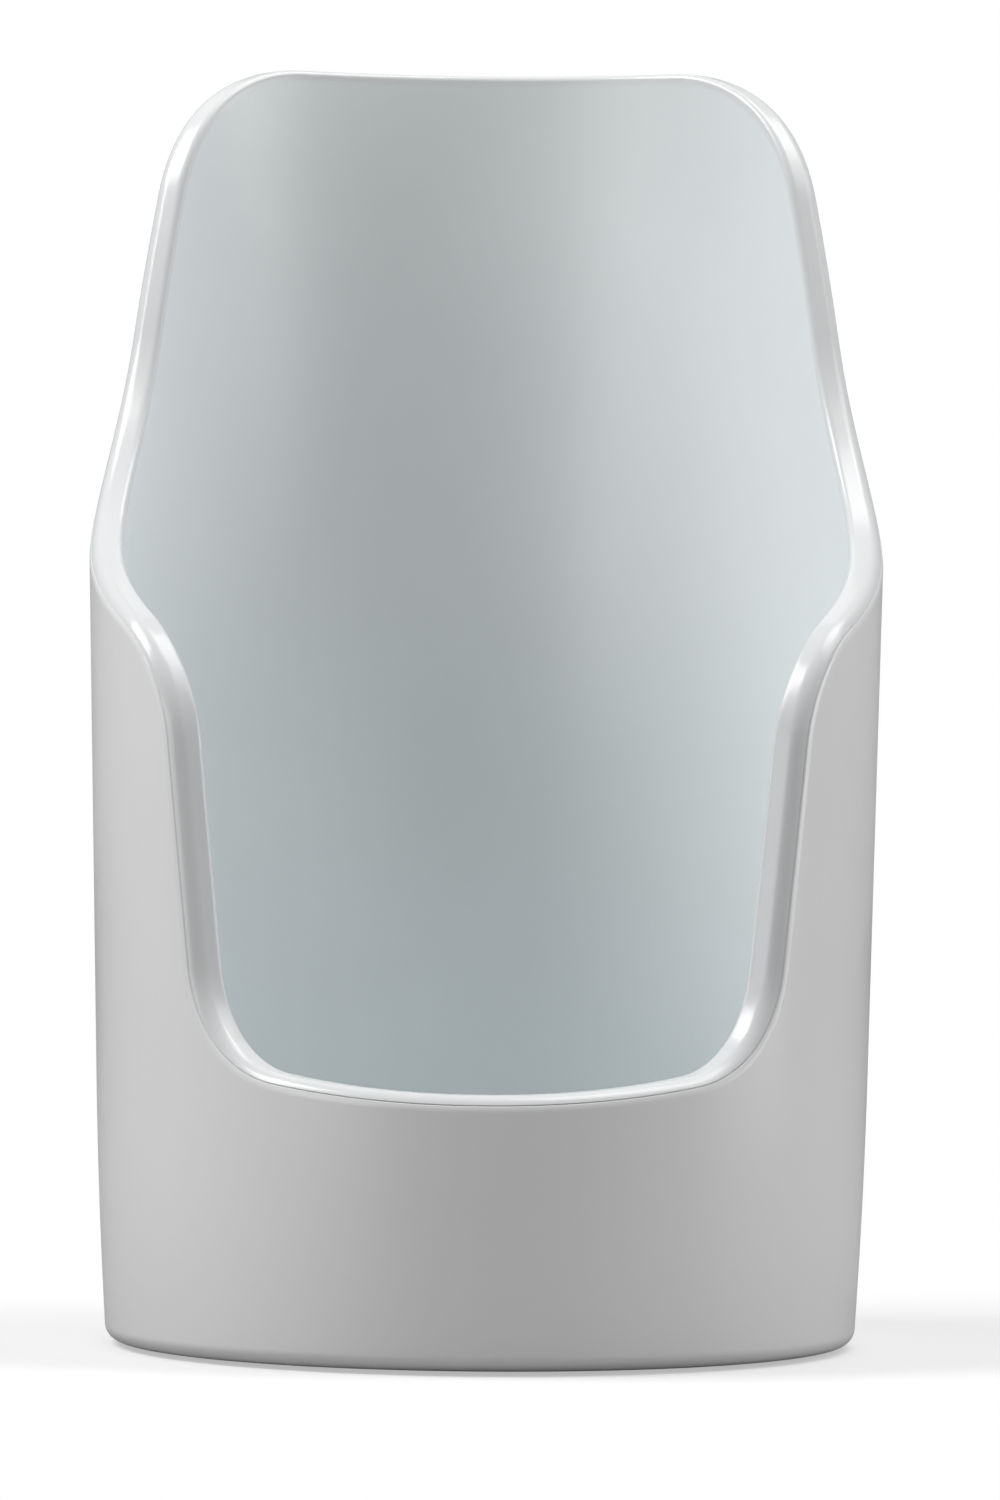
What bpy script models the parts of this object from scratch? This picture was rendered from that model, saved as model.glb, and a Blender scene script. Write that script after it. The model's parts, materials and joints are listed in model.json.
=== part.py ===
"""A high-backed bedpan: an outer casing on four pads, and a lift-out liner whose rim covers the casing's edge.

Both mouldings share one wall form. It is laid out on an unrolled sheet, whose first coordinate runs round
the vessel from the middle of its front and whose second is the height. The rim line is drawn on that sheet
as straight runs joined by arcs, and the sheet is wrapped round an oval body that widens towards the top.
Lengths are in metres. +X is to the right as seen from the front, +Y is to the back, +Z is up.
"""

import math

import bmesh
import bpy
from mathutils import Vector

# Body
ARM_HALF_WIDTH = 0.1200        # half the outer width at the height of the arms
ARM_HEIGHT = 0.2390
DEPTH_RATIO = 1.04             # the body is a little deeper than it is wide
DRAFT = math.tan(math.radians(1.25))
BOW_HEIGHT = 0.080             # below this height the wall also curves in towards the base
BOW_DEPTH = 0.0018
BASE_ROUNDING = 0.008
UNROLL_RADIUS = 0.118          # one radian round the body is this far on the unrolled sheet

# Rim line on the unrolled sheet: degrees from the front, height and corner radius
LIP_HEIGHT = 0.0811
TOP_HEIGHT = 0.3930
RIM_CORNERS = (
    (16.1, LIP_HEIGHT, 0.420),   # the wide bow of the front lip
    (44.8, 0.0897, 0.034),       # foot of the notch's side
    (52.5, 0.2085, 0.045),       # front of the arm
    (105.8, 0.2575, 0.120),      # back of the arm
    (129.6, TOP_HEIGHT, 0.058),  # top corner of the back
)
STRAIGHT_STEP = 0.014
ARC_STEP = math.radians(14)

# Walls and rim section; a drop is measured from the rim line into the wall
CASING_WALL = 0.0030
LINER_INSET = 0.0072           # outer face of the liner's wall, from the body's surface
LINER_WALL = 0.0030
OUTER_ROUNDING = 0.0050        # shared by the liner's rim and the casing's edge, with the parting line across it
RIM_INNER_ROUNDING = 0.0018
RIM_DROP = 0.0027              # the rim's underside
PARTING_GAP = 0.0003
EDGE_DROP = RIM_DROP + PARTING_GAP
RIM_TURN = 0.25                # share by which the face of an upright rim is turned towards the front

# Base
PAD_PROUD = 0.0012
RECESS_HALF_WIDTH = 0.072
RECESS_RISE = 0.0015
VENT_RADIUS = 0.005            # lets air in under the liner as it is lifted
FLOOR_THICKNESS = 0.0030
CASING_INNER_ROUNDING = 0.005
LINER_FLOOR_BOTTOM = 0.0100
LINER_OUTER_ROUNDING = 0.025
FLOOR_RING = 0.045             # half width of the ring that divides each flat floor

# Pads
PAD_RADIUS = 0.0090
PAD_THICKNESS = 0.0022
PAD_CHAMFER = 0.0005
PAD_CIRCLE = 0.0885            # distance of each pad's centre from the vessel's axis
POCKET_CLEARANCE = 0.0003

# How finely the walls are divided
SHEET_BOTTOM = 0.060           # below this height the columns stand straight
UPPER_ROWS = 5
LOWER_HEIGHTS = (0.040, 0.022)
ROUNDING_STEPS = 3

WHITE_CASING = (0.80, 0.80, 0.80, 1.0)
WHITE_LINER = (0.78, 0.80, 0.80, 1.0)
GREY_RUBBER = (0.25, 0.25, 0.26, 1.0)


def clear_scene():
    for obj in list(bpy.data.objects):
        bpy.data.objects.remove(obj, do_unlink=True)


def new_collection(name):
    collection = bpy.data.collections.new(name)
    bpy.context.scene.collection.children.link(collection)
    return collection


def plastic(name, colour, roughness):
    material = bpy.data.materials.new(name)
    material.use_nodes = True
    shader = material.node_tree.nodes["Principled BSDF"]
    shader.inputs["Base Color"].default_value = colour
    shader.inputs["Roughness"].default_value = roughness
    shader.inputs["Metallic"].default_value = 0.0
    return material


# The body's form

def half_width(height):
    """Half the body's outer width at a height."""
    width = ARM_HALF_WIDTH + DRAFT * (height - ARM_HEIGHT)
    if height < BOW_HEIGHT:
        width -= BOW_DEPTH * ((BOW_HEIGHT - height) / BOW_HEIGHT) ** 2
    return width


def wrap(around, height, inset):
    """The point of the unrolled sheet at this inset from the body's surface, round the vessel's axis."""
    angle = around / UNROLL_RADIUS
    width = half_width(height)
    x = (width - inset) * math.sin(angle)
    y = -(width * DEPTH_RATIO - inset) * math.cos(angle)
    return Vector((x, y, height))


def floor_point(around, reach, height):
    """A point of a flat floor, whose outline is an oval of half width reach."""
    angle = around / UNROLL_RADIUS
    return Vector((reach * math.sin(angle), -reach * DEPTH_RATIO * math.cos(angle), height))


def quarter_round(steps):
    """Pairs (sine, 1 - cosine) round a quarter circle, without its two ends."""
    angles = [math.pi / 2 * step / steps for step in range(1, steps)]
    return [(math.sin(angle), 1 - math.cos(angle)) for angle in angles]


# The rim line

def rim_half_line():
    """Points along the rim from the middle of the front to the middle of the back.

    Each is a pair: the point on the unrolled sheet, and the direction in the sheet that leaves the wall.
    """
    to_sheet = math.radians(1) * UNROLL_RADIUS
    ends = (Vector((0, LIP_HEIGHT)), Vector((180 * to_sheet, TOP_HEIGHT)))
    corners = [Vector((degrees * to_sheet, height)) for degrees, height, _ in RIM_CORNERS]
    radii = [radius for _, _, radius in RIM_CORNERS]
    vertices = [ends[0], *corners, ends[1]]
    line = []
    start = ends[0]
    for index, radius in enumerate(radii, start=1):
        before = (vertices[index] - vertices[index - 1]).normalized()
        after = (vertices[index + 1] - vertices[index]).normalized()
        turn = math.atan2(after.y, after.x) - math.atan2(before.y, before.x)
        tangent = radius * math.tan(abs(turn) / 2)
        arc_start = vertices[index] - before * tangent
        line += straight_run(start, arc_start)
        line += arc_run(arc_start, before, turn, radius)
        start = vertices[index] + after * tangent
    line += straight_run(start, ends[1])
    line.append((ends[1], Vector((0, 1))))
    return line


def straight_run(start, end):
    """Points along a straight run, without its end."""
    run = end - start
    out = Vector((-run.y, run.x)).normalized()
    steps = max(1, math.ceil(run.length / STRAIGHT_STEP))
    return [(start + run * (step / steps), out) for step in range(steps)]


def arc_run(start, direction, turn, radius):
    """Points along an arc that starts in a direction and turns by an angle, without its end."""
    side = math.copysign(1, turn)
    out = Vector((-direction.y, direction.x))
    centre = start + out * side * radius
    steps = max(math.ceil(abs(turn) / ARC_STEP), math.ceil(abs(turn) * radius / STRAIGHT_STEP))
    points = []
    for step in range(steps):
        angle = turn * step / steps
        turned = Vector((
            out.x * math.cos(angle) - out.y * math.sin(angle),
            out.x * math.sin(angle) + out.y * math.cos(angle),
        ))
        points.append((centre - turned * side * radius, turned))
    return points


def wall_columns():
    """One column for each rim point, all the way round: its foot on the sheet, its rim point and way out."""
    half = rim_half_line()
    spacing = math.pi * UNROLL_RADIUS / (len(half) - 1)
    right = [(index * spacing, point, out) for index, (point, out) in enumerate(half)]
    mirror = Vector((-1, 1))
    left = [(-foot, point * mirror, out * mirror) for foot, point, out in reversed(right[1:-1])]
    return right + left


COLUMNS = wall_columns()


def rim_place(point, out, inset, drop):
    """A place on the sheet this far into the wall from a rim point."""
    place = point - out * drop
    if out.x:
        place.x -= RIM_TURN * abs(out.x) * inset / math.tan(point.x / UNROLL_RADIUS)
    return place


def rim_ring(inset, drop):
    """A ring that follows the rim line, this far into the wall from it."""
    ring = []
    for _, point, out in COLUMNS:
        place = rim_place(point, out, inset, drop)
        ring.append(wrap(place.x, place.y, inset))
    return ring


def shared_rounding(first_drop, last_drop, steps):
    """Rings along the outer rounding that the rim and the casing's edge share, between two drops."""
    first, last = (math.asin(1 - drop / OUTER_ROUNDING) for drop in (first_drop, last_drop))
    angles = [first + (last - first) * step / steps for step in range(steps + 1)]
    return [rim_ring(OUTER_ROUNDING * (1 - math.cos(a)), OUTER_ROUNDING * (1 - math.sin(a))) for a in angles]


def upper_rings(inset, drop):
    """Rings that blend from the rim, which is left out, down to a level ring."""
    rings = []
    for row in range(1, UPPER_ROWS + 1):
        share = row / UPPER_ROWS
        ring = []
        for foot, point, out in COLUMNS:
            place = rim_place(point, out, inset, drop).lerp(Vector((foot, SHEET_BOTTOM)), share)
            ring.append(wrap(place.x, place.y, inset))
        rings.append(ring)
    return rings


def level_ring(height, inset):
    return [wrap(foot, height, inset) for foot, _, _ in COLUMNS]


def floor_ring(reach, height):
    return [floor_point(foot, reach, height) for foot, _, _ in COLUMNS]


def wall_rings(inset, drop):
    """All rings of one face of a wall, from just under the rim down to the lowest level ring."""
    return upper_rings(inset, drop) + [level_ring(height, inset) for height in LOWER_HEIGHTS]


def base_rings(floor_height, inset, rounding):
    """The rounding between a wall's face and its floor, from the wall down."""
    top = floor_height + rounding
    rings = [level_ring(top, inset)]
    for sine, rise in quarter_round(ROUNDING_STEPS):
        rings.append([
            wrap(foot, top, inset + rounding * rise) - Vector((0, 0, rounding * sine))
            for foot, _, _ in COLUMNS
        ])
    rings.append([wrap(foot, top, inset + rounding) - Vector((0, 0, rounding)) for foot, _, _ in COLUMNS])
    return rings


# Solids

def add_object(name, mesh, collection, material, parent):
    obj = bpy.data.objects.new(name, mesh)
    obj.data.materials.append(material)
    obj.parent = parent
    collection.objects.link(obj)
    return obj


def lofted_mesh(name, rings, closed):
    """A closed surface through rings of equal length: a loop of rings, or one capped at both ends."""
    form = bmesh.new()
    rows = [[form.verts.new(point) for point in ring] for ring in rings]
    pairs = list(zip(rows, rows[1:]))
    if closed:
        pairs.append((rows[-1], rows[0]))
    else:
        for row in (rows[0], rows[-1]):
            form.faces.new(row)
    for first, second in pairs:
        for index in range(len(first)):
            after = (index + 1) % len(first)
            form.faces.new((first[index], first[after], second[after], second[index]))
    bmesh.ops.recalc_face_normals(form, faces=form.faces)
    mesh = bpy.data.meshes.new(name)
    form.to_mesh(mesh)
    form.free()
    mesh.shade_smooth()
    mesh.set_sharp_from_angle(angle=math.radians(35))
    return mesh


def make_casing(collection, material, parent):
    """The outer moulding: wall, rounded base with a shallow recess under it, and a vent in its floor."""
    underside = PAD_PROUD
    recess = underside + RECESS_RISE
    floor_top = recess + FLOOR_THICKNESS
    rings = shared_rounding(EDGE_DROP, OUTER_ROUNDING, 2)
    rings += wall_rings(0, OUTER_ROUNDING)
    rings += base_rings(underside, 0, BASE_ROUNDING)
    rings += [
        floor_ring(RECESS_HALF_WIDTH + RECESS_RISE, underside),
        floor_ring(RECESS_HALF_WIDTH, recess),
        floor_ring(VENT_RADIUS, recess),
        floor_ring(VENT_RADIUS, floor_top),
    ]
    inner_base = base_rings(floor_top, CASING_WALL, CASING_INNER_ROUNDING)
    rings += [floor_ring(FLOOR_RING, floor_top), *reversed(inner_base)]
    rings += reversed(wall_rings(CASING_WALL, EDGE_DROP))
    rings.append(rim_ring(CASING_WALL, EDGE_DROP))
    return add_object("outer_shell", lofted_mesh("outer_shell", rings, True), collection, material, parent)


def make_liner(collection, material, parent):
    """The inner vessel: floor, wall, and the rim that turns out over the casing's edge."""
    inner_inset = LINER_INSET + LINER_WALL
    inner_floor = LINER_FLOOR_BOTTOM + LINER_WALL
    inner_rounding = LINER_OUTER_ROUNDING - LINER_WALL
    rings = [floor_ring(FLOOR_RING, inner_floor)]
    rings += reversed(base_rings(inner_floor, inner_inset, inner_rounding))
    rings += reversed(wall_rings(inner_inset, RIM_INNER_ROUNDING))
    rings.append(rim_ring(inner_inset, RIM_INNER_ROUNDING))
    for sine, rise in quarter_round(2):
        rings.append(rim_ring(inner_inset - RIM_INNER_ROUNDING * rise, RIM_INNER_ROUNDING * (1 - sine)))
    rings.append(rim_ring(inner_inset - RIM_INNER_ROUNDING, 0))
    rings += shared_rounding(0, RIM_DROP, 4)
    rings.append(rim_ring(LINER_INSET, RIM_DROP))
    rings += wall_rings(LINER_INSET, RIM_DROP)
    rings += base_rings(LINER_FLOOR_BOTTOM, LINER_INSET, LINER_OUTER_ROUNDING)
    rings.append(floor_ring(FLOOR_RING, LINER_FLOOR_BOTTOM))
    return add_object("inner_liner", lofted_mesh("inner_liner", rings, False), collection, material, parent)


def pad_places():
    """Name and centre of each pad, on the diagonals of the base."""
    places = []
    for depth_name, depth_sign in (("front", -1), ("back", 1)):
        for side_name, side_sign in (("left", -1), ("right", 1)):
            centre = Vector((side_sign, depth_sign, 0)) * (PAD_CIRCLE * math.sqrt(0.5))
            places.append((f"foot_{depth_name}_{side_name}", centre))
    return places


def pad_mesh(material):
    """A turned pad with both rims chamfered; its outer side runs from top to bottom at +X."""
    profile = (
        (0, PAD_THICKNESS),
        (PAD_RADIUS - PAD_CHAMFER, PAD_THICKNESS),
        (PAD_RADIUS, PAD_THICKNESS - PAD_CHAMFER),
        (PAD_RADIUS, PAD_CHAMFER),
        (PAD_RADIUS - PAD_CHAMFER, 0),
        (0, 0),
    )
    mesh = bpy.data.meshes.new("foot")
    points = [(radius, 0, height) for radius, height in profile]
    mesh.from_pydata(points, [(index, index + 1) for index in range(len(points) - 1)], [])
    mesh.materials.append(material)
    return mesh


def make_pads(collection, material, parent):
    mesh = pad_mesh(material)
    for name, centre in pad_places():
        pad = bpy.data.objects.new(name, mesh)
        pad.location = centre
        pad.parent = parent
        collection.objects.link(pad)
        turning = pad.modifiers.new("turning", "SCREW")
        turning.steps = 28
        turning.render_steps = 28
        turning.use_merge_vertices = True
        turning.merge_threshold = 0.00001


def cut_pad_pockets(casing, cutters, parent):
    """Shallow round pockets in the casing's underside, one over each pad."""
    depth = PAD_THICKNESS + POCKET_CLEARANCE
    for name, centre in pad_places():
        form = bmesh.new()
        bmesh.ops.create_cone(
            form,
            cap_ends=True,
            segments=28,
            radius1=PAD_RADIUS + POCKET_CLEARANCE,
            radius2=PAD_RADIUS + POCKET_CLEARANCE,
            depth=2 * depth,
        )
        mesh = bpy.data.meshes.new(f"pocket_{name}")
        form.to_mesh(mesh)
        form.free()
        cutter = bpy.data.objects.new(f"pocket_{name}", mesh)
        cutter.location = centre
        cutter.parent = parent
        cutter.hide_render = True
        cutter.display_type = "WIRE"
        cutters.objects.link(cutter)
        pocket = casing.modifiers.new(f"pocket_{name}", "BOOLEAN")
        pocket.operation = "DIFFERENCE"
        pocket.solver = "EXACT"
        pocket.object = cutter


def vessel_axis():
    """Where the vessel's axis stands, so that the origin is the middle of the base of the whole outline."""
    front = half_width(LIP_HEIGHT - OUTER_ROUNDING) * DEPTH_RATIO
    back = half_width(TOP_HEIGHT - OUTER_ROUNDING) * DEPTH_RATIO
    return Vector((0, (front - back) / 2, 0))


def empty_at(name, place, collection):
    empty = bpy.data.objects.new(name, None)
    empty.location = place
    empty.empty_display_size = 0.05
    collection.objects.link(empty)
    return empty


def main():
    clear_scene()
    parts = new_collection("bedpan")
    cutters = new_collection("cutters")
    axis = vessel_axis()
    casing_base = empty_at("casing_base", axis, parts)
    liner_lift = empty_at("liner_lift", axis, parts)
    casing = make_casing(parts, plastic("casing_plastic", WHITE_CASING, 0.18), casing_base)
    make_liner(parts, plastic("liner_plastic", WHITE_LINER, 0.18), liner_lift)
    make_pads(parts, plastic("pad_rubber", GREY_RUBBER, 0.75), casing_base)
    cut_pad_pockets(casing, cutters, casing_base)


main()
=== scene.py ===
"""The looks of the high-backed bedpan: a finely modelled casing, lift-out liner and pads in a soft studio.

The walls follow the same form as the frame's solids: an unrolled sheet, whose first coordinate runs round
the vessel from the middle of its front and whose second is the height, wrapped round an oval body that
widens towards the top. The rim line is drawn on that sheet as straight runs joined by arcs, and the rounded
section of the rim is swept along it. Two things differ from the frame's solids: the rim line lies up to
1.5 mm from theirs, and the rounding round the base is tighter. Lengths are in metres.
"""

import json
import math

import bmesh
import bpy
from mathutils import Matrix, Vector

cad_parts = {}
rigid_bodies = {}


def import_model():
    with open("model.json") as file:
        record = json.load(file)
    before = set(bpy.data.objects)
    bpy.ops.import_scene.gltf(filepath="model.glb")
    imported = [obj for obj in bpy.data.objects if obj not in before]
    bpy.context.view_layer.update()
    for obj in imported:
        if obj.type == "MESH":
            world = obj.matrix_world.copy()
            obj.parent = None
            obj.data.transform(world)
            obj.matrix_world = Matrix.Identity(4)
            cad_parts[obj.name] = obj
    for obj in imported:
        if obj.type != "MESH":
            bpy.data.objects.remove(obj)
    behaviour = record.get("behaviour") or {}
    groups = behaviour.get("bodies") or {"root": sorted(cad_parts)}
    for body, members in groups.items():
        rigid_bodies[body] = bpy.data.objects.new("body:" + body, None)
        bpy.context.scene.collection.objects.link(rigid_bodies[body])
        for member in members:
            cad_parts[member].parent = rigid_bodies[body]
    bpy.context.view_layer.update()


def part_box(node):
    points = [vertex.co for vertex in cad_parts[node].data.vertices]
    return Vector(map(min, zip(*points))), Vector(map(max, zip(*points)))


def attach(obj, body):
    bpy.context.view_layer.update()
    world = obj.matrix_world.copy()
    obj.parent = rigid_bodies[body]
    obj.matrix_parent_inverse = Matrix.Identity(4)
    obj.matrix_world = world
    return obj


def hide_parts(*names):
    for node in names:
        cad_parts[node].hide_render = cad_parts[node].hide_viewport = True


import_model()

# Body
ARM_HALF_WIDTH = 0.1200
ARM_HEIGHT = 0.2390
DEPTH_RATIO = 1.04
DRAFT = math.tan(math.radians(1.25))
BOW_HEIGHT = 0.080
BOW_DEPTH = 0.0018
BASE_ROUNDING = 0.005
UNROLL_RADIUS = 0.118

# Rim line on the unrolled sheet: degrees from the front, height and corner radius
LIP_HEIGHT = 0.0811
TOP_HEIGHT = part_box("inner_liner")[1].z
RIM_CORNERS = (
    (16.1, LIP_HEIGHT, 0.420),
    (45.1, 0.0901, 0.036),
    (52.8, 0.2096, 0.048),
    (105.9, 0.2568, 0.119),
    (128.4, TOP_HEIGHT, 0.060),
)
STRAIGHT_STEP = 0.0030
ARC_STEP = math.radians(2.5)

# Walls and rim section; a drop is measured from the rim line into the wall
CASING_WALL = 0.0030
LINER_INSET = 0.0072
LINER_WALL = 0.0030
OUTER_ROUNDING = 0.0050        # shared by the liner's rim and the casing's edge
RIM_INNER_ROUNDING = 0.0018
RIM_DROP = 0.0028
EDGE_DROP = 0.0029
RIM_TURN = 0.25                # share by which the face of an upright rim is turned towards the front
GROOVE_ROUNDING = 0.0002
SMALL_ROUNDING = 0.0003

# Base
CASING_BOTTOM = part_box("outer_shell")[0].z
RECESS_HALF_WIDTH = 0.072
RECESS_RISE = 0.0015
VENT_RADIUS = 0.005
FLOOR_THICKNESS = 0.0030
CASING_INNER_ROUNDING = 0.005
LINER_FLOOR_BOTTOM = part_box("inner_liner")[0].z
LINER_OUTER_ROUNDING = 0.025
POCKET_CLEARANCE = 0.0003
PAD_EDGE = 0.0005
PAD_EDGE_STEPS = 5
GRIP_GROOVES = (0.0066, 0.0046, 0.0026)
GROOVE_HALF_WIDTH = 0.0004
GROOVE_DEPTH = 0.0004
PADS = ("foot_front_left", "foot_front_right", "foot_back_left", "foot_back_right")

# How finely the walls are divided; rows above the sheet's bottom follow the rim, and those below lie level
SHEET_BOTTOM = 0.060
UPPER_ROWS = 44
ROW_CROWDING = 1.3             # over 1 crowds the rows towards the rim
LOWER_ROWS = 10
ROUNDING_STEPS = 10
RECESS_STEPS = 4
EDGE_STEPS = 9
RIM_INNER_STEPS = 8
CROWN_STEPS = 4
RIM_OUTER_STEPS = 16
FLOOR_ROWS = 8
FLOOR_MIDDLE = 0.002           # where the rings of the liner's floor give way to a pole
ROUND_SEGMENTS = 72


def pads_centre():
    """The point of the standing surface in the middle of the pads, through which the vessel's axis runs."""
    middles = [(low + high) / 2 for low, high in map(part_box, PADS)]
    return Vector((0, sum(middle.y for middle in middles) / len(PADS), 0))


AXIS = pads_centre()


# The body's form

def half_width(height):
    """Half the body's outer width at a height."""
    width = ARM_HALF_WIDTH + DRAFT * (height - ARM_HEIGHT)
    if height < BOW_HEIGHT:
        width -= BOW_DEPTH * ((BOW_HEIGHT - height) / BOW_HEIGHT) ** 2
    return width


def wrap(around, height, inset):
    """The point of the unrolled sheet at this inset from the body's surface, round the vessel's axis."""
    angle = around / UNROLL_RADIUS
    width = half_width(height)
    x = (width - inset) * math.sin(angle)
    y = -(width * DEPTH_RATIO - inset) * math.cos(angle)
    return Vector((x, y, height)) + AXIS


def floor_point(around, reach, height):
    """A point of a flat floor, whose outline is an oval of half width reach."""
    angle = around / UNROLL_RADIUS
    return Vector((reach * math.sin(angle), -reach * DEPTH_RATIO * math.cos(angle), height)) + AXIS


def quarter_round(steps):
    """Pairs (sine, 1 - cosine) round a quarter circle, with both its ends."""
    angles = [math.pi / 2 * step / steps for step in range(steps + 1)]
    return [(math.sin(angle), 1 - math.cos(angle)) for angle in angles]


# The rim line

def straight_run(start, end):
    """Points along a straight run, without its end, each with the direction that leaves the wall."""
    run = end - start
    out = Vector((-run.y, run.x)).normalized()
    steps = max(1, math.ceil(run.length / STRAIGHT_STEP))
    return [(start + run * (step / steps), out) for step in range(steps)]


def arc_run(start, direction, turn, radius):
    """Points along an arc that starts in a direction and turns by an angle, without its end."""
    side = math.copysign(1, turn)
    out = Vector((-direction.y, direction.x))
    centre = start + out * side * radius
    steps = max(math.ceil(abs(turn) / ARC_STEP), math.ceil(abs(turn) * radius / STRAIGHT_STEP))
    points = []
    for step in range(steps):
        angle = turn * step / steps
        turned = Vector((
            out.x * math.cos(angle) - out.y * math.sin(angle),
            out.x * math.sin(angle) + out.y * math.cos(angle),
        ))
        points.append((centre - turned * side * radius, turned))
    return points


def rim_half_line():
    """The rim from the middle of the front to the middle of the back, as pairs of point and way out."""
    to_sheet = math.radians(1) * UNROLL_RADIUS
    end = Vector((180 * to_sheet, TOP_HEIGHT))
    corners = [Vector((degrees * to_sheet, height)) for degrees, height, _ in RIM_CORNERS]
    vertices = [Vector((0, LIP_HEIGHT)), *corners, end]
    line = []
    start = vertices[0]
    for index, (_, _, radius) in enumerate(RIM_CORNERS, start=1):
        before = (vertices[index] - vertices[index - 1]).normalized()
        after = (vertices[index + 1] - vertices[index]).normalized()
        turn = math.atan2(after.y, after.x) - math.atan2(before.y, before.x)
        tangent = radius * math.tan(abs(turn) / 2)
        arc_start = vertices[index] - before * tangent
        line += straight_run(start, arc_start)
        line += arc_run(arc_start, before, turn, radius)
        start = vertices[index] + after * tangent
    line += straight_run(start, end)
    line.append((end, Vector((0, 1))))
    return line


def wall_columns():
    """A column for each rim point, all the way round: its foot on the sheet, its rim point and way out."""
    half = rim_half_line()
    spacing = math.pi * UNROLL_RADIUS / (len(half) - 1)
    right = [(index * spacing, point, out) for index, (point, out) in enumerate(half)]
    mirror = Vector((-1, 1))
    left = [(-foot, point * mirror, out * mirror) for foot, point, out in reversed(right[1:-1])]
    return right + left


COLUMNS = wall_columns()


def rim_place(point, out, inset, drop):
    """A place on the sheet this far into the wall from a rim point."""
    place = point - out * drop
    if out.x:
        place.x -= RIM_TURN * abs(out.x) * inset / math.tan(point.x / UNROLL_RADIUS)
    return place


def rim_ring(inset, drop):
    """A ring that follows the rim line, this far into the wall from it."""
    ring = []
    for _, point, out in COLUMNS:
        place = rim_place(point, out, inset, drop)
        ring.append(wrap(place.x, place.y, inset))
    return ring


def shared_rounding(first_drop, last_drop, steps):
    """Insets and drops along the outer rounding that the rim and the casing's edge share."""
    first, last = (math.asin(1 - drop / OUTER_ROUNDING) for drop in (first_drop, last_drop))
    angles = [first + (last - first) * step / steps for step in range(steps + 1)]
    return [(OUTER_ROUNDING * (1 - math.cos(a)), OUTER_ROUNDING * (1 - math.sin(a))) for a in angles]


def wall_rings(inset, drop, base_height):
    """All rings of one face of a wall, from just under the rim down to just over its base rounding."""
    rings = []
    for row in range(1, UPPER_ROWS + 1):
        share = (row / UPPER_ROWS) ** ROW_CROWDING
        ring = []
        for foot, point, out in COLUMNS:
            place = rim_place(point, out, inset, drop).lerp(Vector((foot, SHEET_BOTTOM)), share)
            ring.append(wrap(place.x, place.y, inset))
        rings.append(ring)
    for row in range(1, LOWER_ROWS):
        height = SHEET_BOTTOM + (base_height - SHEET_BOTTOM) * row / LOWER_ROWS
        rings.append([wrap(foot, height, inset) for foot, _, _ in COLUMNS])
    return rings


def base_rings(floor_height, inset, rounding):
    """The rounding between a wall's face and its floor, from the wall down."""
    top = floor_height + rounding
    rings = []
    for sine, rise in quarter_round(ROUNDING_STEPS):
        drop = Vector((0, 0, rounding * sine))
        rings.append([wrap(foot, top, inset + rounding * rise) - drop for foot, _, _ in COLUMNS])
    return rings


def floor_rings(reach, height, end_reach):
    """Flat floor rings from an oval of half width reach in to one of half width end_reach."""
    rings = []
    for row in range(1, FLOOR_ROWS + 1):
        share = row / FLOOR_ROWS
        size = reach + (end_reach - reach) * share
        rings.append([floor_point(foot, size, height) for foot, _, _ in COLUMNS])
    return rings


# Solids

def lofted_mesh(name, rings, closed, sharp_degrees=40):
    """A closed surface through rings of equal length: a loop of rings, or one with a pole at each end."""
    form = bmesh.new()
    rows = [[form.verts.new(point) for point in ring] for ring in rings]
    count = len(rows[0])
    pairs = list(zip(rows, rows[1:]))
    if closed:
        pairs.append((rows[-1], rows[0]))
    for first, second in pairs:
        for index in range(count):
            after = (index + 1) % count
            form.faces.new((first[index], first[after], second[after], second[index]))
    if not closed:
        for row in (rows[0], rows[-1]):
            middle = sum((vert.co for vert in row), Vector()) / count
            pole = form.verts.new(middle)
            for index in range(count):
                form.faces.new((row[index], row[(index + 1) % count], pole))
    bmesh.ops.recalc_face_normals(form, faces=form.faces)
    mesh = bpy.data.meshes.new(name)
    form.to_mesh(mesh)
    form.free()
    mesh.shade_smooth()
    mesh.set_sharp_from_angle(angle=math.radians(sharp_degrees))
    return mesh


def add_piece(name, mesh, material):
    piece = bpy.data.objects.new(name, mesh)
    piece.data.materials.append(material)
    bpy.context.scene.collection.objects.link(piece)
    return piece


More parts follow.
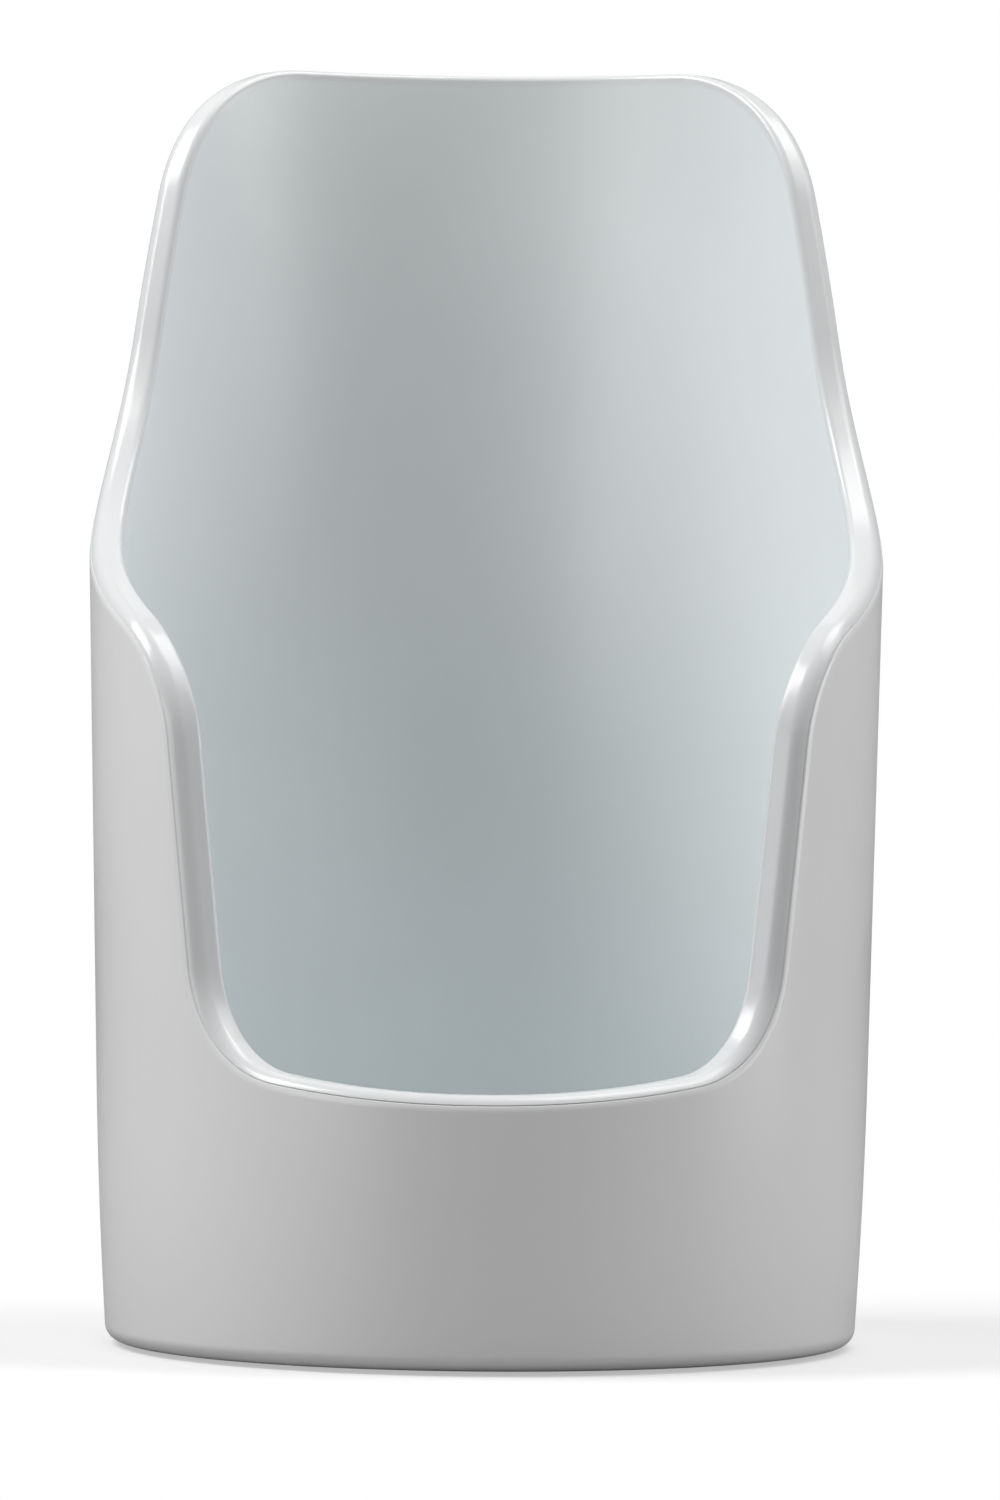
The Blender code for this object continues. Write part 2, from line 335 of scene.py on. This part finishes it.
def make_casing(material):
    """The outer moulding, from its rounded top edge down the outside, under the base and up the inside."""
    recess = CASING_BOTTOM + RECESS_RISE
    floor_top = recess + FLOOR_THICKNESS
    edge = shared_rounding(EDGE_DROP + GROOVE_ROUNDING, OUTER_ROUNDING, EDGE_STEPS)
    rings = [rim_ring(edge[0][0] + 2 * GROOVE_ROUNDING, EDGE_DROP)]
    rings += [rim_ring(inset, drop) for inset, drop in edge]
    rings += wall_rings(0, OUTER_ROUNDING, CASING_BOTTOM + BASE_ROUNDING)
    rings += base_rings(CASING_BOTTOM, 0, BASE_ROUNDING)
    ring_outer = half_width(CASING_BOTTOM + BASE_ROUNDING) - BASE_ROUNDING
    ring_inner = RECESS_HALF_WIDTH + RECESS_RISE
    rings += floor_rings(ring_outer, CASING_BOTTOM, ring_inner)
    for sine, rise in quarter_round(RECESS_STEPS):
        rings.append([
            floor_point(foot, ring_inner - RECESS_RISE * sine, CASING_BOTTOM + RECESS_RISE * rise)
            for foot, _, _ in COLUMNS
        ])
    rings += floor_rings(RECESS_HALF_WIDTH, recess, VENT_RADIUS + SMALL_ROUNDING)
    rings += [
        [floor_point(foot, VENT_RADIUS, height) for foot, _, _ in COLUMNS]
        for height in (recess + SMALL_ROUNDING, floor_top - SMALL_ROUNDING)
    ]
    floor_reach = half_width(floor_top + CASING_INNER_ROUNDING) - CASING_WALL - CASING_INNER_ROUNDING
    rings += reversed(floor_rings(floor_reach, floor_top, VENT_RADIUS + SMALL_ROUNDING))
    rings += reversed(base_rings(floor_top, CASING_WALL, CASING_INNER_ROUNDING))
    inner_drop = EDGE_DROP + SMALL_ROUNDING
    rings += reversed(wall_rings(CASING_WALL, inner_drop, floor_top + CASING_INNER_ROUNDING))
    rings.append(rim_ring(CASING_WALL, inner_drop))
    rings.append(rim_ring(CASING_WALL - SMALL_ROUNDING, EDGE_DROP))
    return add_piece("casing_body", lofted_mesh("casing_body", rings, True), material)


def rim_section():
    """The liner's rim from the inner wall, over the crown and down to its underside: insets and drops."""
    inner = LINER_INSET + LINER_WALL
    crown = inner - RIM_INNER_ROUNDING - OUTER_ROUNDING
    section = []
    for sine, rise in quarter_round(RIM_INNER_STEPS):
        section.append((inner - RIM_INNER_ROUNDING * rise, RIM_INNER_ROUNDING * (1 - sine)))
    section += [
        (OUTER_ROUNDING + crown * (CROWN_STEPS - step) / CROWN_STEPS, 0)
        for step in range(1, CROWN_STEPS)
    ]
    section += shared_rounding(0, RIM_DROP - GROOVE_ROUNDING, RIM_OUTER_STEPS)
    section.append((section[-1][0] + GROOVE_ROUNDING, RIM_DROP))
    section.append((LINER_INSET, RIM_DROP))
    return section


def make_liner(material):
    """The inner vessel, from the middle of its floor up the inside, over the rim and down the outside."""
    inner_inset = LINER_INSET + LINER_WALL
    inner_floor = LINER_FLOOR_BOTTOM + LINER_WALL
    inner_rounding = LINER_OUTER_ROUNDING - LINER_WALL
    inner_reach = half_width(inner_floor + inner_rounding) - inner_inset - inner_rounding
    outer_reach = half_width(LINER_FLOOR_BOTTOM + LINER_OUTER_ROUNDING) - LINER_INSET - LINER_OUTER_ROUNDING
    rings = list(reversed(floor_rings(inner_reach, inner_floor, FLOOR_MIDDLE)))
    rings += reversed(base_rings(inner_floor, inner_inset, inner_rounding))
    rings += reversed(wall_rings(inner_inset, RIM_INNER_ROUNDING, inner_floor + inner_rounding))
    first = len(rings)
    rings += [rim_ring(inset, drop) for inset, drop in rim_section()]
    last = len(rings)
    rings += wall_rings(LINER_INSET, RIM_DROP, LINER_FLOOR_BOTTOM + LINER_OUTER_ROUNDING)
    rings += base_rings(LINER_FLOOR_BOTTOM, LINER_INSET, LINER_OUTER_ROUNDING)
    rings += floor_rings(outer_reach, LINER_FLOOR_BOTTOM, FLOOR_MIDDLE)
    mesh = lofted_mesh("liner_body", rings, False)
    # rim_share marks the rim rings, which take the painted rim shade and the rim's polish
    shares = mesh.attributes.new("rim_share", "FLOAT", "POINT")
    for index in range(first * len(COLUMNS), last * len(COLUMNS)):
        shares.data[index].value = 1
    return add_piece("liner_body", mesh, material)


def make_pad(node, material):
    """A rubber pad turned from a profile with rounded edges and grip grooves in its underside."""
    low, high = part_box(node)
    radius = (high.x - low.x) / 2
    thickness = high.z - low.z
    rounding = [(PAD_EDGE * sine, PAD_EDGE * rise) for sine, rise in quarter_round(PAD_EDGE_STEPS)]
    profile = [(0, thickness)]
    profile += [(radius - PAD_EDGE + along, thickness - down) for along, down in rounding]
    profile += [(radius - inward, PAD_EDGE - down) for down, inward in rounding]
    for groove in GRIP_GROOVES:
        profile += [
            (groove + GROOVE_HALF_WIDTH, 0),
            (groove + GROOVE_HALF_WIDTH / 2, GROOVE_DEPTH),
            (groove - GROOVE_HALF_WIDTH / 2, GROOVE_DEPTH),
            (groove - GROOVE_HALF_WIDTH, 0),
        ]
    profile.append((0, 0))
    mesh = bpy.data.meshes.new(f"pad_{node}")
    points = [(reach, 0, height) for reach, height in profile]
    mesh.from_pydata(points, [(index, index + 1) for index in range(len(points) - 1)], [])
    pad = add_piece(f"pad_{node}", mesh, material)
    pad.location = ((low.x + high.x) / 2, (low.y + high.y) / 2, low.z)
    turning = pad.modifiers.new("turning", "SCREW")
    turning.steps = ROUND_SEGMENTS
    turning.render_steps = ROUND_SEGMENTS
    turning.use_merge_vertices = True
    turning.merge_threshold = 0.00001
    turning.use_smooth_shade = True
    return pad


def cut_pad_pockets(casing):
    """Shallow round pockets in the casing's underside, one over each pad."""
    cutters = bpy.data.collections.new("cutters")
    bpy.context.scene.collection.children.link(cutters)
    for node in PADS:
        low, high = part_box(node)
        radius = (high.x - low.x) / 2 + POCKET_CLEARANCE
        form = bmesh.new()
        bmesh.ops.create_cone(
            form,
            cap_ends=True,
            segments=ROUND_SEGMENTS,
            radius1=radius,
            radius2=radius,
            depth=2 * (high.z + POCKET_CLEARANCE),
        )
        mesh = bpy.data.meshes.new(f"pocket_{node}")
        form.to_mesh(mesh)
        form.free()
        cutter = bpy.data.objects.new(f"pocket_{node}", mesh)
        cutter.location = ((low.x + high.x) / 2, (low.y + high.y) / 2, 0)
        cutters.objects.link(cutter)
        pocket = casing.modifiers.new(f"pocket_{node}", "BOOLEAN")
        pocket.operation = "DIFFERENCE"
        pocket.solver = "EXACT"
        pocket.object = cutter
    bpy.context.view_layer.update()
    graph = bpy.context.evaluated_depsgraph_get()
    cut = bpy.data.meshes.new_from_object(casing.evaluated_get(graph))
    casing.modifiers.clear()
    casing.data = cut
    for cutter in list(cutters.objects):
        bpy.data.objects.remove(cutter, do_unlink=True)
    bpy.data.collections.remove(cutters)


# Materials

RIM_POLISH = 0.14              # how much less rough the rim is than the liner's inside


def add_node(tree, kind, **values):
    node = tree.nodes.new(kind)
    for name, value in values.items():
        if name in node.inputs:
            node.inputs[name].default_value = value
        else:
            setattr(node, name, value)
    return node


def noise(tree, place, scale, detail):
    texture = add_node(tree, "ShaderNodeTexNoise", Scale=scale, Detail=detail)
    tree.links.new(place.outputs["Object"], texture.inputs["Vector"])
    return texture


def map_range(tree, value, low, high):
    """Spreads a noise's usual values, about 0.3 to 0.7, over the range from low to high."""
    spread = add_node(tree, "ShaderNodeMapRange")
    spread.inputs["From Min"].default_value = 0.3
    spread.inputs["From Max"].default_value = 0.7
    spread.inputs["To Min"].default_value = low
    spread.inputs["To Max"].default_value = high
    tree.links.new(value.outputs["Fac"], spread.inputs["Value"])
    return spread


def gloss_plastic(name, colour, roughness, rim_shade_colour=None):
    """Moulded gloss plastic: faint mottling, handling smears in the gloss, and a soft orange-peel surface.

    With a rim shade colour, which is painted shade that darkens the upward-facing rim under the overhead
    light, the mesh's rim_share says how far each point takes that painted shade and the rim's polish.
    """
    material = bpy.data.materials.new(name)
    material.use_nodes = True
    tree = material.node_tree
    shader = tree.nodes["Principled BSDF"]
    shader.inputs["IOR"].default_value = 1.50
    place = add_node(tree, "ShaderNodeTexCoord")

    mottle = noise(tree, place, 14.0, 3.0)
    shade = add_node(tree, "ShaderNodeMix", data_type="RGBA")
    shade.inputs["A"].default_value = (*[channel * 0.985 for channel in colour], 1)
    shade.inputs["B"].default_value = (*[min(1, channel * 1.01) for channel in colour], 1)
    tree.links.new(map_range(tree, mottle, 0.0, 1.0).outputs["Result"], shade.inputs["Factor"])
    colour_with_any_rim_shade = shade
    # Painted shade: the rim faces the overhead light, so it gets a darker, neutral grey than the liner's
    # inside
    if rim_shade_colour:
        colour_with_any_rim_shade = add_node(tree, "ShaderNodeMix", data_type="RGBA")
        colour_with_any_rim_shade.inputs["B"].default_value = (*rim_shade_colour, 1)
        share = add_node(tree, "ShaderNodeAttribute", attribute_name="rim_share")
        tree.links.new(share.outputs["Fac"], colour_with_any_rim_shade.inputs["Factor"])
        tree.links.new(shade.outputs["Result"], colour_with_any_rim_shade.inputs["A"])
    tree.links.new(colour_with_any_rim_shade.outputs["Result"], shader.inputs["Base Color"])

    smear = noise(tree, place, 38.0, 5.0)
    smear.inputs["Distortion"].default_value = 0.8
    gloss = map_range(tree, smear, roughness - 0.025, roughness + 0.035).outputs["Result"]
    if rim_shade_colour:
        polish = add_node(tree, "ShaderNodeMath", operation="MULTIPLY_ADD")
        polish.inputs[1].default_value = -RIM_POLISH
        tree.links.new(share.outputs["Fac"], polish.inputs[0])
        tree.links.new(gloss, polish.inputs[2])
        gloss = polish.outputs["Value"]
    tree.links.new(gloss, shader.inputs["Roughness"])

    peel = noise(tree, place, 260.0, 1.0)
    grain = noise(tree, place, 2600.0, 2.0)
    coarse = add_node(tree, "ShaderNodeBump", Distance=0.00002, Strength=0.5)
    fine = add_node(tree, "ShaderNodeBump", Distance=0.000002, Strength=0.5)
    tree.links.new(peel.outputs["Fac"], coarse.inputs["Height"])
    tree.links.new(grain.outputs["Fac"], fine.inputs["Height"])
    tree.links.new(coarse.outputs["Normal"], fine.inputs["Normal"])
    tree.links.new(fine.outputs["Normal"], shader.inputs["Normal"])
    return material


def pad_rubber():
    """Dull grey rubber with a fine grain and paler scuffs."""
    material = bpy.data.materials.new("pad_rubber_fine")
    material.use_nodes = True
    tree = material.node_tree
    shader = tree.nodes["Principled BSDF"]
    place = add_node(tree, "ShaderNodeTexCoord")
    scuff = noise(tree, place, 240.0, 6.0)
    shade = add_node(tree, "ShaderNodeMix", data_type="RGBA")
    shade.inputs["A"].default_value = (0.045, 0.045, 0.048, 1)
    shade.inputs["B"].default_value = (0.085, 0.085, 0.088, 1)
    tree.links.new(map_range(tree, scuff, 0.0, 1.0).outputs["Result"], shade.inputs["Factor"])
    tree.links.new(shade.outputs["Result"], shader.inputs["Base Color"])
    tree.links.new(map_range(tree, scuff, 0.62, 0.82).outputs["Result"], shader.inputs["Roughness"])
    grain = noise(tree, place, 3200.0, 3.0)
    bump = add_node(tree, "ShaderNodeBump", Distance=0.00004, Strength=0.6)
    tree.links.new(grain.outputs["Fac"], bump.inputs["Height"])
    tree.links.new(bump.outputs["Normal"], shader.inputs["Normal"])
    return material


# Studio

CAMERA_DISTANCE = 2.4
CAMERA_AZIMUTH = math.radians(-0.55)
EYE_HEIGHT = 0.195
VIEW_ROLL = math.radians(0.5)
CAMERA_SENSOR = 36             # in millimetres, like the lens
VIEW_HEIGHT = 0.453975         # what the view spans at the vessel's axis
AIM = Vector((0.0046, 0, 0.1799))

LIGHT_CENTRE = AXIS + Vector((0, 0, 0.2))
LIGHT_DISTANCE = 1.8
SOFT_BOX_SIZE = 0.9
LENT_LIGHT = 0.235             # the white background's share that lights the vessel
FLOOR_REACH = 4.0
SHADOW_REACH = 0.45


def make_camera():
    data = bpy.data.cameras.new("camera")
    data.sensor_width = CAMERA_SENSOR
    data.lens = CAMERA_SENSOR * CAMERA_DISTANCE / VIEW_HEIGHT
    data.clip_start = 0.1
    data.clip_end = 50
    camera = bpy.data.objects.new("camera", data)
    bpy.context.scene.collection.objects.link(camera)
    stand = Vector((math.sin(CAMERA_AZIMUTH), -math.cos(CAMERA_AZIMUTH), 0)) * CAMERA_DISTANCE
    camera.location = AXIS + stand + Vector((0, 0, EYE_HEIGHT))
    aim = AXIS + AIM
    look = (aim - camera.location).to_track_quat("-Z", "Y").to_matrix().to_4x4()
    roll = Matrix.Rotation(VIEW_ROLL, 4, "Z")
    camera.matrix_world = Matrix.Translation(camera.location) @ look @ roll
    bpy.context.scene.camera = camera


def soft_box(name, azimuth, elevation, power):
    """A soft light aimed at the vessel, its angles in degrees; azimuth runs from the front towards +X."""
    around = math.radians(azimuth)
    up = math.radians(elevation)
    away = Vector((math.sin(around) * math.cos(up), -math.cos(around) * math.cos(up), math.sin(up)))
    data = bpy.data.lights.new(name, "AREA")
    data.shape = "SQUARE"
    data.size = SOFT_BOX_SIZE
    data.energy = power
    light = bpy.data.objects.new(name, data)
    light.location = LIGHT_CENTRE + away * LIGHT_DISTANCE
    light.rotation_euler = (-away).to_track_quat("-Z", "Y").to_euler()
    light.visible_camera = False
    bpy.context.scene.collection.objects.link(light)


def make_floor():
    """A plain pale floor with a soft shadow round the vessel's base, fading into the white background."""
    mesh = bpy.data.meshes.new("studio_floor")
    form = bmesh.new()
    bmesh.ops.create_grid(form, x_segments=8, y_segments=8, size=FLOOR_REACH)
    form.to_mesh(mesh)
    form.free()
    material = bpy.data.materials.new("studio_floor")
    material.use_nodes = True
    tree = material.node_tree
    lit = tree.nodes["Principled BSDF"]
    lit.inputs["Base Color"].default_value = (0.93, 0.93, 0.93, 1)
    lit.inputs["Roughness"].default_value = 0.9
    lit.inputs["Specular IOR Level"].default_value = 0.0
    dim = add_node(tree, "ShaderNodeBsdfDiffuse", Color=(0.3, 0.3, 0.3, 1))
    glow = add_node(tree, "ShaderNodeEmission", Strength=1.0)

    place = add_node(tree, "ShaderNodeTexCoord")
    reach = add_node(tree, "ShaderNodeVectorMath", operation="LENGTH")
    tree.links.new(place.outputs["Object"], reach.inputs[0])
    fade = add_node(tree, "ShaderNodeMapRange", interpolation_type="SMOOTHSTEP")
    fade.inputs["From Min"].default_value = SHADOW_REACH / 3
    fade.inputs["From Max"].default_value = SHADOW_REACH
    fade.inputs["To Min"].default_value = 0.45
    tree.links.new(reach.outputs["Value"], fade.inputs["Value"])
    seen = add_node(tree, "ShaderNodeMixShader")
    tree.links.new(fade.outputs["Result"], seen.inputs["Fac"])
    tree.links.new(lit.outputs["BSDF"], seen.inputs[1])
    tree.links.new(glow.outputs["Emission"], seen.inputs[2])

    path = add_node(tree, "ShaderNodeLightPath")
    both = add_node(tree, "ShaderNodeMixShader")
    tree.links.new(path.outputs["Is Camera Ray"], both.inputs["Fac"])
    tree.links.new(dim.outputs["BSDF"], both.inputs[1])
    tree.links.new(seen.outputs["Shader"], both.inputs[2])
    tree.links.new(both.outputs["Shader"], tree.nodes["Material Output"].inputs["Surface"])
    floor = add_piece("studio_floor", mesh, material)


def make_world():
    """A white background, which lends the vessel only a little light."""
    world = bpy.data.worlds.new("studio")
    bpy.context.scene.world = world
    world.use_nodes = True
    tree = world.node_tree
    seen = tree.nodes["Background"]
    seen.inputs["Color"].default_value = (1, 1, 1, 1)
    seen.inputs["Strength"].default_value = 1.0
    lent = add_node(tree, "ShaderNodeBackground", Strength=LENT_LIGHT)
    lent.inputs["Color"].default_value = (1, 1, 1, 1)
    path = add_node(tree, "ShaderNodeLightPath")
    both = add_node(tree, "ShaderNodeMixShader")
    tree.links.new(path.outputs["Is Camera Ray"], both.inputs["Fac"])
    tree.links.new(lent.outputs["Background"], both.inputs[1])
    tree.links.new(seen.outputs["Background"], both.inputs[2])
    tree.links.new(both.outputs["Shader"], tree.nodes["World Output"].inputs["Surface"])


def make_studio():
    bpy.context.scene.view_settings.view_transform = "Standard"
    soft_box("left_front", -45, 5, 4.8)
    soft_box("left_high", -85, 50, 23.0)
    soft_box("right_side", 85, 5, 9.1)
    soft_box("right_high", 85, 50, 6.6)
    soft_box("right_back", 110, 70, 10.4)
    make_world()
    make_floor()
    make_camera()


def main():
    casing_plastic = gloss_plastic("casing_gloss", (0.87, 0.87, 0.87), 0.22)
    # The liner's rim colour is painted shade, a darker grey for the upward-facing rim
    liner_plastic = gloss_plastic("liner_gloss", (0.81, 0.85, 0.86), 0.34, rim_shade_colour=(0.76, 0.77, 0.775))
    casing = make_casing(casing_plastic)
    cut_pad_pockets(casing)
    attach(casing, "casing")
    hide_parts("outer_shell")
    liner = make_liner(liner_plastic)
    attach(liner, "liner")
    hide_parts("inner_liner")
    rubber = pad_rubber()
    for node in PADS:
        pad = make_pad(node, rubber)
        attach(pad, "casing")
        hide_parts(node)
    make_studio()


main()
